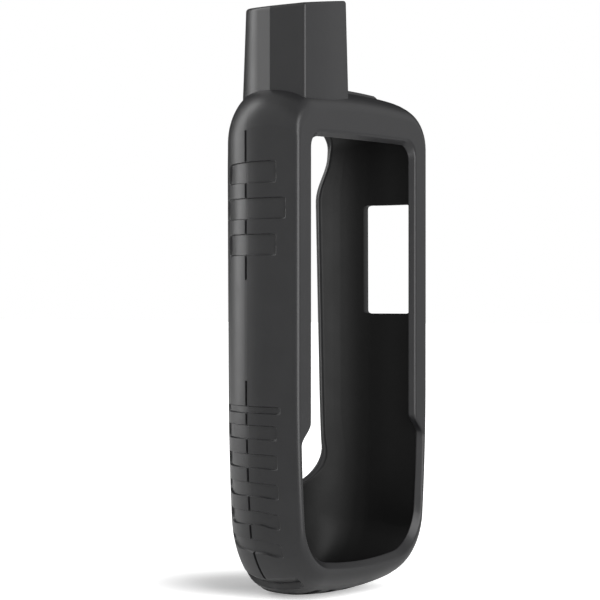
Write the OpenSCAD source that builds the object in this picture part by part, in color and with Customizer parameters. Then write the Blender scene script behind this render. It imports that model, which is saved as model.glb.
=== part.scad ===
// Protective silicone sleeve for a handheld satellite receiver.
// The sleeve is one soft moulding: a pocket that grips the receiver, open at the screen,
// the keypad, the back and the side keys, with a boot for the antenna on its left shoulder.
// Each node is one zone of that moulding, and the zones meet face to face.
// +Z is up, -Y is the screen side, and the origin is under the middle of the base.

/* [Overall] */
// Width of the sleeve
body_w = 66; // [61:0.2:74]
// Depth of the sleeve, from its front face to its back
body_d = 38.5; // [36:0.1:43]
// Height of the sleeve with its antenna boot
overall_h = 173.1; // [164:0.1:184]
// Thickness of the silicone wall
wall_t = 2.4; // [1.6:0.1:3]

/* [Front outline] */
// Radius of the long arc under the base
base_arc_r = 168; // [120:1:400]
// Radius of the lower corners at the middle of the depth
base_corner_r = 19.8; // [15:0.1:24]
// Radius of the lower corners at the front face
base_front_corner_r = 13.4; // [9:0.1:18]
// How far each side draws in at the base
hem_in = 4.4; // [0:0.1:6]
// Height at which the sides start to draw in
hem_h = 62; // [40:1:80]
// Radius of the long arc over the crown
crown_arc_r = 280; // [200:1:600]
// Radius of the two shoulders at the front face
shoulder_front_r = 9.2; // [7:0.1:12]
// Radius of the two shoulders at the back
shoulder_back_r = 15.4; // [12:0.1:18]

/* [Edges] */
// Radius of the front edge along the sides
front_side_r = 1.4; // [0.8:0.1:2]
// Depth of the flat part of each side, from the front face
side_flat = 12.6; // [10:0.1:16]
// How far the front face ends below the top of the crown
crown_front_rise = 7.7; // [6:0.1:10]
// Depth over which the crown curves up from the front face
crown_front_run = 19.2; // [12:0.1:20]
// How far the back ends below the top of the crown
crown_back_rise = 7; // [5:0.1:9]
// Depth over which the crown curves up from the back
crown_back_run = 19.3; // [12:0.1:20]
// How high the front face starts above the base
base_front_rise = 8.5; // [7:0.1:12]
// Depth over which the base curves up to the front face
base_front_run = 19.4; // [12:0.1:21]
// How high the base curves up at the back
base_back_rise = 22.9; // [14:0.1:26]
// Depth over which the base curves up at the back
base_back_run = 11.2; // [9:0.1:15]
// How much shallower the base is than the crown
back_taper = 0.9; // [0:0.1:2]

/* [Screen and keypad opening] */
// How far the front lip reaches over each side of the screen
screen_lip = 4.7; // [3:0.1:6]
// From the top of the crown down to the screen opening
screen_drop = 16.2; // [14:0.1:21]
// Corner radius of the screen opening
screen_corner_r = 3; // [3:0.1:5]
// Height at which the opening reaches the keypad's full width
keypad_top = 47.2; // [40:0.1:60]
// Height of the slanted step between screen and keypad
keypad_step_h = 4; // [3:0.1:8]
// Radius at both ends of that step
keypad_step_r = 3; // [1.5:0.1:3]
// Height of the lip under the keypad, above the front edge of the base
keypad_lip = 2.2; // [1.2:0.1:4]
// Radius of the two lower corners of the keypad opening
keypad_corner_r = 13; // [9:0.1:16]
// How much the opening widens from the back of the lip to the front face, on each side
side_flare = 0.6; // [0.1:0.1:1]
// How much the opening widens from the back of the lip to the front face, at each end
end_flare = 1.9; // [0.5:0.1:2]

/* [Rear opening] */
// Half width of the rear opening at its top
rear_top_half = 24.9; // [22:0.1:26]
// Half width of the rear opening at its waist
rear_waist_half = 21.5; // [18:0.1:22]
// Half width of the rear opening at its foot
rear_foot_half = 22.5; // [18:0.1:23]
// From the top of the crown down to the rear opening
rear_drop = 7.7; // [7:0.1:12]
// Height of the wide top part of the rear opening
rear_top_h = 21; // [16:0.1:30]
// Height of the rear opening's foot above the base
rear_foot = 29.6; // [26:0.1:40]
// Radius of the two lower corners of the rear opening
rear_foot_r = 12; // [6:0.1:16]
// Radius of the two upper corners and of the waist
rear_soft_r = 7; // [4:0.1:8]

/* [Side key opening] */
// From the top of the crown down to the side key opening
key_drop = 33.2; // [27:0.1:41]
// Height of the side key opening
key_h = 33.2; // [20:0.1:44]
// Depth at which the side key opening starts, from the front face
key_front = 5; // [4:0.1:8]
// Depth at which the side key opening ends, from the front face
key_back = 21.05; // [14:0.1:23]
// Corner radius of the side key opening
key_corner_r = 1; // [0.4:0.1:3]

/* [Antenna boot] */
// Left face of the boot, from the middle of the sleeve
boot_left = 26.3; // [24:0.1:28]
// Right edge of the boot's front face at its foot, from the middle of the sleeve
boot_right = 4.2; // [1:0.1:8]
// How far the right edge leans in towards the top
boot_lean = 1.6; // [0:0.1:4]
// Depth of the boot's front face behind the sleeve's front face
boot_front = 2.5; // [2.5:0.1:5]
// How far the front face bulges at its middle
boot_bulge = 0.8; // [0.2:0.1:1.5]
// Depth of the flat part of the boot's left face
boot_flat = 12.4; // [8:0.1:16]
// Length of the narrow facet behind the left face
boot_facet = 6.2; // [3:0.1:9]
// Turn of that facet from the left face
boot_facet_turn = 17; // [8:1:30]
// Radius of the boot's back at its foot
boot_foot_r = 25; // [20:0.1:25]
// Radius of the boot's back at its top
boot_top_r = 18; // [14:0.1:22]
// Height of the boot's left edge above the top of the crown
boot_h = 21.7; // [14:0.1:31]
// Rise of the boot's top for each millimetre to the right
boot_slope = 0.133; // [0:0.001:0.2]
// Radius of the boot's top edge
boot_edge_r = 0.9; // [0.3:0.1:2]

/* [Grip pockets] */
// Depth of the grip pockets and of the line along the side
grip_depth = 0.6; // [0.3:0.1:1]
// Depth of the pockets at the two lower corners
corner_grip_depth = 1.2; // [0.6:0.1:1.6]
// Corner radius of the grip pockets
grip_corner_r = 0.7; // [0.3:0.1:0.9]
// Height of each upper grip pocket
upper_grip_h = 5.9; // [3:0.1:7]
// Distance from one upper grip pocket to the next
upper_grip_pitch = 10.25; // [8:0.05:13]
// From the top of the crown down to the first upper grip pocket
upper_grip_drop = 26.1; // [21:0.1:31]
// Depth at which the first and third upper grip pockets start, from the front face
upper_grip_front = 7.9; // [5:0.1:12]
// Length of the first and third upper grip pockets
upper_grip_len = 19.6; // [12:0.1:21]
// How much further the middle upper grip pocket reaches at each end
upper_grip_extra = 3.4; // [0:0.1:3.6]
// Height of each lower grip pocket
lower_grip_h = 3.9; // [2:0.1:5]
// Distance from one lower grip pocket to the next
lower_grip_pitch = 8.15; // [6:0.05:9]
// Height of the topmost lower grip pocket
lower_grip_top = 48.9; // [44:0.1:56]
// Depth at which the lower grip pockets start, from the front face
lower_grip_front = 7.9; // [5:0.1:12]
// Length of the lower grip pockets
lower_grip_len = 23.4; // [14:0.1:24]
// Height of the thin pocket above the lower grip pockets
thin_grip_h = 1.9; // [1:0.1:3]
// Rise of that thin pocket above the topmost lower grip pocket
thin_grip_rise = 6.4; // [5:0.1:9]
// How much further that thin pocket reaches at each end
thin_grip_extra = 1.5; // [0:0.1:1.6]
// Distance from one pocket under the base to the next
base_grip_pitch = 8.3; // [6:0.05:9]
// Width of each lower corner pocket
corner_grip_w = 6; // [3:0.1:7]
// Angle below the side at which each lower corner pocket sits
corner_grip_turn = 51; // [40:1:56]
// Width of the line along each side
line_w = 0.7; // [0.3:0.1:1.2]
// From the top of the crown down to the upper end of that line
line_drop = 14.1; // [12:0.1:18]
// Height at which the lower run of that line ends
line_low_top = 63.4; // [58:0.1:66]
// Height at which the upper run of that line starts
line_high_base = 92.2; // [80:0.1:100]

/* [Crown pad] */
// How far the pad beside the boot stands up
pad_h = 0.6; // [0.3:0.1:1]
// Right end of the pad, from the middle of the sleeve
pad_right = 17.5; // [10:0.1:19]
// Depth at which the pad starts, from the front face
pad_front = 8; // [7:0.1:12]
// Depth at which the pad ends, from the front face
pad_back = 29; // [18:0.1:31]

/* [Hidden] */

// Height of the sleeve up to the top of its crown
body_h = overall_h - boot_h - boot_slope * (boot_left - boot_right - boot_lean);
half_w = body_w / 2;
pocket_half = half_w - wall_t;
front_y = -body_d / 2;
back_side_r = body_d - side_flat;

// Smallest radius that an edge keeps on the inside of a wall
edge_min = 0.2;
// Corners take at most this share of the half width
corner_share = 0.9;
// Depth over which the lower corners grow from the front radius to the full one
corner_blend = 15;
// Depth over which the shoulders grow from the front radius to the back one
shoulder_blend = 30;

// Half a turn, in degrees
half_turn = 180;

// Points along one corner, one long arc and one side of an outline
corner_n = 8;
arc_n = 8;
side_n = 8;

// Heights of the openings and of the cuts between zones
screen_top = body_h - screen_drop;
screen_half = pocket_half - screen_lip;
keypad_base = base_front_rise + keypad_lip;
opening_mid = (screen_top + keypad_base) / 2;
rear_top = body_h - rear_drop;
rear_waist = rear_top - rear_top_h;
key_top = body_h - key_drop;
base_split = rear_foot + rear_foot_r / 3;
crown_split = (screen_top + rear_top) / 2;

// Reach of a cutter past the surface that it cuts
past = 5;
big = 2 * (body_h + body_w);

// Inset of a round edge of radius r at distance q from the face that it ends on
function round_in(q, r) = q >= r ? 0 : r - sqrt(r * r - pow(r - max(q, 0), 2));

// Inset of a bowl that rises by rise over the depth run, at distance q from its rim
function bowl_in(q, run, rise) = q >= run ? 0 : rise * (1 - sqrt(1 - pow(1 - max(q, 0) / run, 2)));

// Insets of the sides, crown and base at depth q, for the surface that lies skin inside
function side_in(q, skin) =
  skin + round_in(q - skin, max(front_side_r - skin, edge_min))
  + round_in(body_d - skin - q, back_side_r - skin);
function top_in(q, skin) =
  skin + bowl_in(q - skin, crown_front_run - skin, crown_front_rise - skin)
  + bowl_in(body_d - skin - q, crown_back_run - skin, crown_back_rise - skin);
function base_in(q, skin) =
  skin + bowl_in(q - skin, base_front_run - skin, base_front_rise - skin)
  + bowl_in(body_d - skin - q, base_back_run - skin, base_back_rise - skin);

// Radius of the lower corners and of the shoulders at depth q
function base_corner(q) =
  base_corner_r + (base_front_corner_r - base_corner_r) * max(0, 1 - q / corner_blend);
function shoulder(q) =
  shoulder_back_r + (shoulder_front_r - shoulder_back_r) * max(0, 1 - q / shoulder_blend);

// Points of an arc from angle a to angle b, without its last point
function arc(cx, cz, r, a, b, n) =
  [for (i = [0 : n - 1]) let (t = a + (b - a) * i / n) [cx + r * cos(t), cz + r * sin(t)]];

// Points of a line, without its last point
function line(p, q, n) = [for (i = [0 : n - 1]) p + (q - p) * i / n];

// Front outline with a round base and crown: two long arcs, four tangent corners, two sides
function outline(half, top, base, corner, shoulder, skin) =
  let (
    arc_r = base_arc_r - skin,
    low_r = min(corner, corner_share * half),
    low_x = half - low_r,
    low_z = base + arc_r - sqrt(pow(arc_r - low_r, 2) - low_x * low_x),
    low_a = atan2(low_z - base - arc_r, low_x),
    top_r = crown_arc_r - skin,
    top_z = top - top_r,
    high_r = min(shoulder, corner_share * half),
    high_x = half - high_r,
    high_z = top_z + sqrt(pow(top_r - high_r, 2) - high_x * high_x),
    high_a = atan2(high_z - top_z, high_x)
  )
  concat(
    arc(0, base + arc_r, arc_r, -half_turn - low_a, low_a, arc_n),
    arc(low_x, low_z, low_r, low_a, 0, corner_n),
    line([half, low_z], [half, high_z], side_n),
    arc(high_x, high_z, high_r, 0, high_a, corner_n),
    arc(0, top_z, top_r, high_a, half_turn - high_a, arc_n),
    arc(-high_x, high_z, high_r, half_turn - high_a, half_turn, corner_n),
    line([-half, high_z], [-half, low_z], side_n),
    arc(-low_x, low_z, low_r, half_turn, half_turn - low_a, corner_n)
  );

// How much of its width the outline keeps at height z, where the sides draw in
function hem_keep(z) = 1 - hem_in / half_w * pow(max(0, 1 - z / hem_h), 2);

// A point of the outline at depth q, with the drawn-in sides and the shallower base
function in_space(p, q) =
  [p.x * hem_keep(p.y), front_y + q * (1 - back_taper / body_d * (1 - p.y / body_h)), p.y];

// Depths at which the body is sliced: the front edge, the flat side and the round back
function slices(skin) =
  let (edge = max(front_side_r - skin, edge_min), start = skin + edge)
  concat(
    [for (i = [0 : 3]) skin + edge * (1 - cos(30 * i))],
    [for (i = [1 : 6]) start + (side_flat - start) * pow(i / 6, 1.4)],
    [for (i = [1 : 9]) side_flat + (back_side_r - skin) * sin(10 * i)]
  );

function ring(q, skin) =
  [for (p = outline(half_w - side_in(q, skin), body_h - top_in(q, skin), base_in(q, skin),
                    base_corner(q) - skin, shoulder(q) - skin, skin)) in_space(p, q)];

// A closed solid through rings that have the same number of points
module loft(rings) {
  n = len(rings[0]);
  last = len(rings) - 1;
  walls = [
    for (i = [0 : last - 1], j = [0 : n - 1])
      let (a = i * n + j, b = i * n + (j + 1) % n)
      each [[a, b, b + n], [a, b + n, a + n]]
  ];
  first_cap = [for (j = [1 : n - 2]) [0, j + 1, j]];
  last_cap = [for (j = [1 : n - 2]) [last * n, last * n + j, last * n + j + 1]];
  polyhedron([for (r = rings) each r], concat(walls, first_cap, last_cap));
}

// The body without its openings, skin inside its outer surface
module body(skin) {
  loft([for (q = slices(skin)) ring(q, skin)]);
}

// Centre of the boot's round back, which the narrow facet runs into
facet_end = [
  boot_facet * sin(boot_facet_turn) - boot_left,
  boot_front + boot_flat + boot_facet * cos(boot_facet_turn)
];
function boot_centre(r) = facet_end + r * [cos(boot_facet_turn), -sin(boot_facet_turn)];

// Section of the boot at share k of its height, skin inside its outer surface
function boot_section(k, skin) =
  let (
    r = boot_foot_r + (boot_top_r - boot_foot_r) * k,
    c = boot_centre(r),
    left = skin - boot_left,
    right = -boot_right - boot_lean * k - skin,
    front = boot_front + skin,
    back_r = r - skin,
    facet = c + back_r * [-cos(boot_facet_turn), sin(boot_facet_turn)],
    flat_end = facet.y - (facet.x - left) / tan(boot_facet_turn),
    soft = boot_edge_r + wall_t - skin,
    end_a = acos((right - soft - c.x) / back_r),
    end_y = c.y + back_r * sin(end_a),
    mid = (left + right) / 2
  )
  concat(
    arc(c.x, c.y, back_r, half_turn - boot_facet_turn, end_a, corner_n),
    arc(right - soft, end_y - soft, soft, 90, 0, 4),
    [[right, end_y - soft]],
    [for (i = [0 : 6]) let (x = right + (left - right) * i / 6)
      [x, front - boot_bulge * (1 - pow((x - mid) / (right - mid), 2))]],
    [[left, flat_end]]
  );

// Height of the boot's top at x, and a ring of the boot that lies drop below it
function boot_top(x) = body_h + boot_h + boot_slope * (x + boot_left);
function boot_ring(skin, drop) =
  [for (p = boot_section(1, skin)) [p.x, front_y + p.y, boot_top(p.x) - drop]];
function boot_foot(skin) =
  [for (p = boot_section(0, skin)) [p.x, front_y + p.y, crown_split]];

// The boot without its pocket, from inside the body up to its rounded top edge
module boot_solid() {
  loft(concat(
    [boot_foot(0)],
    [for (i = [0 : 3]) boot_ring(boot_edge_r * (1 - cos(30 * i)), boot_edge_r * (1 - sin(30 * i)))]
  ));
}

module boot_pocket() {
  loft([boot_foot(wall_t), boot_ring(wall_t, wall_t)]);
}

// Rounds the outer and inner corners of a flat shape
module soften(r) {
  offset(r = r, $fn = 32) offset(r = -2 * r, $fn = 32) offset(r = r, $fn = 32) children();
}

// Bar with round corners, w across and l along the depth
module rounded_bar(w, l, r) {
  hull()
    for (x = [-1, 1], y = [-1, 1])
      translate([x * (w / 2 - r), y * (l / 2 - r)]) circle(r, $fn = 16);
}

// Front opening at the back of the lip: the screen, a slanted step, then the full pocket width
module front_opening() {
  keypad_half = pocket_half * hem_keep(keypad_top);
  step_top = keypad_top + keypad_step_h;
  soften(keypad_step_r) {
    translate([0, (keypad_top + screen_top) / 2])
      rounded_bar(2 * screen_half, screen_top - keypad_top, screen_corner_r);
    polygon([
      [-keypad_half, keypad_top], [keypad_half, keypad_top],
      [screen_half, step_top], [-screen_half, step_top]
    ]);
    intersection() {
      polygon([for (p = outline(pocket_half, body_h, keypad_base, keypad_corner_r, shoulder_back_r, wall_t))
        [p.x * hem_keep(p.y), p.y]]);
      translate([-body_w, 0]) square([2 * body_w, keypad_top]);
    }
  }
}

// Rear opening: a wide top, a waist, and a foot with large round corners
module rear_opening() {
  soften(rear_soft_r) {
    translate([0, rear_top - rear_top_h / 2])
      rounded_bar(2 * rear_top_half, rear_top_h, rear_soft_r);
    hull() {
      translate([-rear_waist_half, rear_waist]) square([2 * rear_waist_half, rear_top_h / 2]);
      for (s = [-1, 1])
        translate([s * (rear_foot_half - rear_foot_r), rear_foot + rear_foot_r])
          circle(rear_foot_r, $fn = 48);
    }
  }
}

// Stands a flat front-view shape up and cuts from depth q on, over the length l
module through_front(q, l) {
  translate([0, front_y + q + l, 0]) rotate([90, 0, 0]) linear_extrude(l) children();
}

// The same opening, widening evenly from just behind the lip to the front face and past it
module flared_opening() {
  flare = [side_flare / screen_half, end_flare / (screen_top - opening_mid)] / wall_t;
  first = [1, 1] - flare * edge_min;
  last = [1, 1] + flare * (wall_t + past);
  translate([0, front_y + wall_t + edge_min, opening_mid]) rotate([90, 0, 0])
    linear_extrude(edge_min + wall_t + past, scale = [last.x / first.x, last.y / first.y])
      scale(first) translate([0, -opening_mid]) front_opening();
}

module side_key_opening() {
  depth = key_back - key_front;
  translate([0, front_y + (key_front + key_back) / 2, key_top - key_h / 2])
    rotate([0, 90, 0])
      linear_extrude(body_w) rounded_bar(key_h, depth, key_corner_r);
}

// Cutter for a grip pocket at x, z, turned by turn, that starts at depth q and is l long
module grip(x, z, turn, w, q, l) {
  translate([x, front_y + q + l / 2, z]) rotate([0, turn, 0])
    linear_extrude(2 * past, center = true) rounded_bar(w, l, min(grip_corner_r, w * 0.45));
}

module lower_grip(x, z, turn, w) {
  grip(x, z, turn, w, lower_grip_front, lower_grip_len);
}

// Pockets that mirror each other on the two sides and under the base
module lower_grips(s) {
  grip(s * half_w, lower_grip_top + thin_grip_rise, 90, thin_grip_h,
       lower_grip_front - thin_grip_extra, lower_grip_len + 2 * thin_grip_extra);
  for (i = [0 : 4])
    let (z = lower_grip_top - i * lower_grip_pitch)
      lower_grip(s * half_w * hem_keep(z), z, 90, lower_grip_h);
  for (i = [1 : 2])
    lower_grip(s * i * base_grip_pitch, 0, 0, lower_grip_h);
}

module upper_grips() {
  for (i = [0 : 2])
    let (extra = i == 1 ? upper_grip_extra : 0)
      grip(-half_w, body_h - upper_grip_drop - i * upper_grip_pitch, 90, upper_grip_h,
           upper_grip_front - extra, upper_grip_len + 2 * extra);
}

// Pockets at the lower corners, square to the corner's round
module corner_grip(s) {
  z = base_corner_r * (1 - sin(corner_grip_turn));
  x = (half_w - base_corner_r * (1 - cos(corner_grip_turn))) * hem_keep(z);
  lower_grip(s * x, z, s * (corner_grip_turn - 90), corner_grip_w);
}

// Line along each side at the middle of the depth, with a bare stretch between its two runs
module side_line() {
  for (run = [[base_corner_r / 3, line_low_top], [line_high_base, body_h - line_drop]])
    translate([-body_w, -line_w / 2, run[0]]) cube([2 * body_w, line_w, run[1] - run[0]]);
}

module grip_cuts() {
  difference() {
    union() {
      upper_grips();
      lower_grips(-1);
      lower_grips(1);
      lower_grip(0, 0, 0, lower_grip_h);
      side_line();
    }
    body(grip_depth);
  }
  difference() {
    union() {
      corner_grip(-1);
      corner_grip(1);
    }
    body(corner_grip_depth);
  }
}

// The pad beside the boot: a slice of the crown's own surface, moved up
module crown_pad() {
  intersection() {
    translate([0, 0, pad_h]) body(0);
    translate([-boot_right - past, front_y + pad_front, crown_split])
      cube([boot_right + past + pad_right, pad_back - pad_front, big]);
  }
}

// The whole sleeve without the boot: the body, its pad, its pockets and its openings
module sleeve() {
  difference() {
    union() {
      body(0);
      crown_pad();
    }
    grip_cuts();
    body(wall_t);
    boot_pocket();
    through_front(-past, past + wall_t + edge_min) front_opening();
    through_front(body_d / 2, body_d) rear_opening();
    side_key_opening();
  }
}

// Block that holds everything behind the front lip between two heights
module behind_lip(z0, z1) {
  translate([-big / 2, front_y + wall_t, z0]) cube([big, big, z1 - z0]);
}

// Flat lip around the screen, and the rim round the keypad
module front_bezel() {
  color("#484848")
    difference() {
      intersection() {
        body(0);
        translate([-big / 2, front_y - past, -past]) cube([big, past + wall_t, big]);
      }
      flared_opening();
    }
}

// Left side and the left part of the back, with the upper grip pockets
module left_side_wall() {
  color("#3a3a3a")
    intersection() {
      sleeve();
      behind_lip(base_split, crown_split);
      translate([-big, -big / 2, 0]) cube(big);
    }
}

// Right side and the right part of the back, with the side key opening
module right_side_wall() {
  color("#3a3a3a")
    intersection() {
      sleeve();
      behind_lip(base_split, crown_split);
      translate([0, -big / 2, 0]) cube(big);
    }
}

// Round base below the rear opening
module base_cup() {
  color("#3a3a3a")
    intersection() {
      sleeve();
      behind_lip(-past, base_split);
    }
}

// Crown and both shoulders, with the way up into the boot
module crown_shoulder() {
  color("#404040")
    intersection() {
      sleeve();
      behind_lip(crown_split, big);
    }
}

// Boot over the antenna, standing on the crown
module antenna_boot() {
  color("#404040")
    difference() {
      boot_solid();
      boot_pocket();
      body(0);
      crown_pad();
    }
}

front_bezel();
left_side_wall();
right_side_wall();
base_cup();
crown_shoulder();
antenna_boot();
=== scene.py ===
# %% [markdown]
# # A moulded silicone sleeve
#
# The object is the soft jacket of a handheld satellite receiver: one moulding of dark grey silicone,
# about 66 mm wide and 173 mm tall, that is pulled over the receiver. It is open at the screen, the
# keypad, the back and the side keys, and a hollow boot on its left shoulder takes the antenna.
#
# The CAD part already has every size. This script rebuilds the visible skin as smooth surfaces in the
# same frame, gives it a finish, and sets up the lights and camera to photograph it. Lengths below are
# in millimetres, because the part was measured in them, and they become metres only when a mesh is made.

import math

import bmesh
import bpy
import numpy as np
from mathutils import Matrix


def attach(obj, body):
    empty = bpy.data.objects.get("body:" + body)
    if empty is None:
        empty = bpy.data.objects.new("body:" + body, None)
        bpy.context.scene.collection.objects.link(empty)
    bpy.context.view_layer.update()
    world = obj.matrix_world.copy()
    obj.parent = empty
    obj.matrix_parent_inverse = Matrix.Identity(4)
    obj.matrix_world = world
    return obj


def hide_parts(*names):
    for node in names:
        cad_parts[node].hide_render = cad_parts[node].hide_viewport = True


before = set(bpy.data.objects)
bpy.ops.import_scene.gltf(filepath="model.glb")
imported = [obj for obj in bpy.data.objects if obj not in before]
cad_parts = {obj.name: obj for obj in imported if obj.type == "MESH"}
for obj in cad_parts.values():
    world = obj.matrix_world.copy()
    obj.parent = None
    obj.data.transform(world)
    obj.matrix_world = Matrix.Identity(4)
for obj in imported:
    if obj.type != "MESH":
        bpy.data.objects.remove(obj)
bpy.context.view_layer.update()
print("CAD nodes:", sorted(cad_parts))

# %% [markdown]
# ## Sizes
#
# These are the sizes of the CAD part. Further down, only the edge of the lip, the rim and the top of
# the rear opening, and some pockets follow the photo more closely than the solids do. The front
# outline has a long arc under the base, a long arc over the crown, and four round corners. Front to
# back, each side is flat and then turns through a large radius, the crown is a low arch, and the base
# is a bowl, steep at the back and shallow at the front.

# %% Sizes of the sleeve
WIDTH, DEPTH, HEIGHT, WALL = 66.0, 38.5, 148.67, 2.4
MIDDLE = DEPTH / 2
FRONT_SIDE_R, SIDE_FLAT = 1.4, 12.6
BASE_FRONT_RISE, BASE_FRONT_RUN = 8.5, 19.4
BASE_BACK_RISE, BASE_BACK_RUN = 22.9, 11.2
BASE_ARC_R, BASE_CORNER_R, BASE_FRONT_CORNER_R, CORNER_BLEND = 168.0, 19.8, 13.4, 15.0
CROWN_FRONT_RISE, CROWN_FRONT_RUN = 7.7, 19.2
CROWN_BACK_RISE, CROWN_BACK_RUN = 7.0, 19.3
CROWN_ARC_R, SHOULDER_FRONT_R, SHOULDER_BACK_R, SHOULDER_BLEND = 280.0, 9.2, 15.4, 30.0
HEM_IN, HEM_H, BACK_TAPER = 4.4, 62.0, 0.9
print("sleeve below its boot:", WIDTH, "x", DEPTH, "x", HEIGHT, "mm, wall", WALL, "mm")

# %% [markdown]
# ## The shape of the sleeve
#
# A moulder would cut this shape into two steel halves and a core. Here the same surface is a function
# of two numbers: the depth `q` behind the front face, and the place round the front outline. At every
# depth the outline is drawn in from its largest size by an inset for the sides, one for the crown and
# one for the base. The wall's inner face is the same function with every radius less one wall.

# %% Insets at a depth
LEAST_R = 0.2


def round_in(q, r):
    """Inset of a round edge: r - sqrt(r^2 - (r - q)^2) up to the distance r from the face, then none."""
    return r - np.sqrt(r * r - np.clip(r - q, 0, r) ** 2)


def bowl_in(q, run, rise):
    """Inset of a quarter ellipse: rise * (1 - sqrt(1 - (1 - q / run)^2)) over the run, then none."""
    return rise * (1 - np.sqrt(1 - np.clip(1 - q / run, 0, 1) ** 2))


def insets(q, skin):
    """Insets of the sides, the crown and the base at depth q, on the surface that lies skin inside."""
    near, far = q - skin, DEPTH - skin - q
    side = round_in(near, max(FRONT_SIDE_R - skin, LEAST_R)) + round_in(far, DEPTH - SIDE_FLAT - skin)
    crown = bowl_in(near, CROWN_FRONT_RUN - skin, CROWN_FRONT_RISE - skin)
    crown = crown + bowl_in(far, CROWN_BACK_RUN - skin, CROWN_BACK_RISE - skin)
    base = bowl_in(near, BASE_FRONT_RUN - skin, BASE_FRONT_RISE - skin)
    base = base + bowl_in(far, BASE_BACK_RUN - skin, BASE_BACK_RISE - skin)
    return skin + side, skin + crown, skin + base


def hem_keep(z):
    """Share of its width that the sleeve keeps at height z: 1 - hem * (1 - z / hem height)^2."""
    return 1 - HEM_IN / (WIDTH / 2) * np.clip(1 - z / HEM_H, 0, 1) ** 2


print("insets at the back:", [round(float(v), 1) for v in insets(np.array(DEPTH), 0.0)], "mm")

# %% [markdown]
# ## One end of the outline
#
# The base and the crown are built alike: a long arc that runs on into a smaller corner arc with the
# same tangent. A point on this end is named by where it starts, `x`, and by the share `f` of the way
# from there to the end of the corner. Naming points like this keeps the lines of the mesh straight
# under the base, where the grip pockets need them, and still lets them turn the corner evenly.

# %% A long arc with a tangent corner
CORNER_LIMIT = 0.9


def end_arcs(up, half, edge, long_r, corner_r):
    """The two arcs of one end: height and radius of the long arc, then the corner tangent to it."""
    corner_x = half - corner_r
    long_z = edge - up * long_r
    corner_z = long_z + up * np.sqrt((long_r - corner_r) ** 2 - corner_x**2)
    return up, long_z, long_r, corner_x, corner_z, corner_r


def end_curve(arcs, x, f):
    """Points at the share f of the way from x to the corner's end, and the length of that way.

    With angles from the vertical, the arcs meet at asin(corner x / (long r - corner r)).
    """
    up, long_z, long_r, corner_x, corner_z, corner_r = arcs
    meet = np.arcsin(corner_x / (long_r - corner_r))
    on_long = x <= long_r * np.sin(meet)
    a = np.where(on_long, np.arcsin(x / long_r), meet)
    b = np.where(on_long, meet, np.arcsin(np.clip((x - corner_x) / corner_r, -1, 1)))
    first = long_r * (meet - a)
    length = first + corner_r * (np.pi / 2 - b)
    way = f * length
    a = a + way / long_r
    b = b + np.maximum(way - first, 0) / corner_r
    stay = way < first
    px = np.where(stay, long_r * np.sin(a), corner_x + corner_r * np.sin(b))
    pz = np.where(stay, long_z + up * long_r * np.cos(a), corner_z + up * corner_r * np.cos(b))
    return px, pz, length


def blend(front, back, run, q):
    """A size that goes evenly from its front to its back value over a run of depth."""
    return back + (front - back) * np.clip(1 - q / run, 0, 1)


def sleeve_ends(q, skin):
    """Half width of the sleeve at depth q, and the arcs of its base and of its crown."""
    side, crown, base = insets(q, skin)
    half = WIDTH / 2 - side
    widest = CORNER_LIMIT * half
    low_r = blend(BASE_FRONT_CORNER_R, BASE_CORNER_R, CORNER_BLEND, q) - skin
    high_r = blend(SHOULDER_FRONT_R, SHOULDER_BACK_R, SHOULDER_BLEND, q) - skin
    low = end_arcs(-1, half, base, BASE_ARC_R - skin, np.minimum(low_r, widest))
    high = end_arcs(1, half, HEIGHT - crown, CROWN_ARC_R - skin, np.minimum(high_r, widest))
    return half, low, high


_, low_end, high_end = sleeve_ends(np.array(MIDDLE), 0.0)
LOW, HIGH = float(low_end[4]), float(high_end[4])
print("at half depth the sides run from", round(LOW, 1), "to", round(HIGH, 1), "mm high")

# %% [markdown]
# ## Columns
#
# A column is one line of the mesh from the screen opening, over the front face, along the side and
# round the back to the rear opening. Each is named by one length: how far it lies from the middle of
# the base, measured round the outline at half depth. Columns stand close together where a pocket has
# an edge, so that the edge is crisp, and wide apart where the surface is plain.

# %% Columns of the mesh
BASE, SIDE, CROWN = 0, 1, 2
BASE_HOLD, CROWN_HOLD = 19.5, 19.0
LOW_RUN = float(end_curve(low_end, BASE_HOLD, 0)[2])
HIGH_RUN = float(end_curve(high_end, CROWN_HOLD, 0)[2])
SIDE_START = BASE_HOLD + LOW_RUN
SIDE_STOP = SIDE_START + HIGH - LOW
CROWN_START = SIDE_STOP + HIGH_RUN
HALF_LENGTH = CROWN_START + CROWN_HOLD


def columns_at(length, sign):
    """Columns of the right (1) or left (-1) half: the part each is on, and its place x, f or z there."""
    part = np.where(length < SIDE_START, BASE, np.where(length <= SIDE_STOP, SIDE, CROWN))
    x_crown = CROWN_HOLD - np.maximum(length - CROWN_START, 0)
    x = np.where(part == BASE, np.minimum(length, BASE_HOLD), x_crown)
    f = np.where(part == BASE, (length - BASE_HOLD) / LOW_RUN, (CROWN_START - length) / HIGH_RUN)
    sign = np.full(length.shape, sign)
    return dict(part=part, x=x, f=np.clip(f, 0, 1), z=LOW + length - SIDE_START, sign=sign)


print("half of the outline is", round(HALF_LENGTH, 1), "mm long")

# %% [markdown]
# ## A point on the sleeve
#
# Now depth and column give a point. A side column keeps its height except near its two ends, where it
# is shifted to meet the corners. A base or crown column keeps its distance from the middle until the
# back narrows, and is then drawn in with it.

# %% From depth and column to a point
LOW_REACH, HIGH_REACH, NARROW_T = 30.0, 15.0, 31.0


def ease(u):
    """The square of u between 0 and 1: a shift that fades out without a kink."""
    return np.clip(u, 0, 1) ** 2


def side_height(z, low, high):
    """Height of a side column: its own, shifted near both ends to meet the corners there."""
    rise, drop = ease(1 - (z - LOW) / LOW_REACH), ease(1 - (HIGH - z) / HIGH_REACH)
    return z + (low - LOW) * rise + (high - HIGH) * drop


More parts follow.
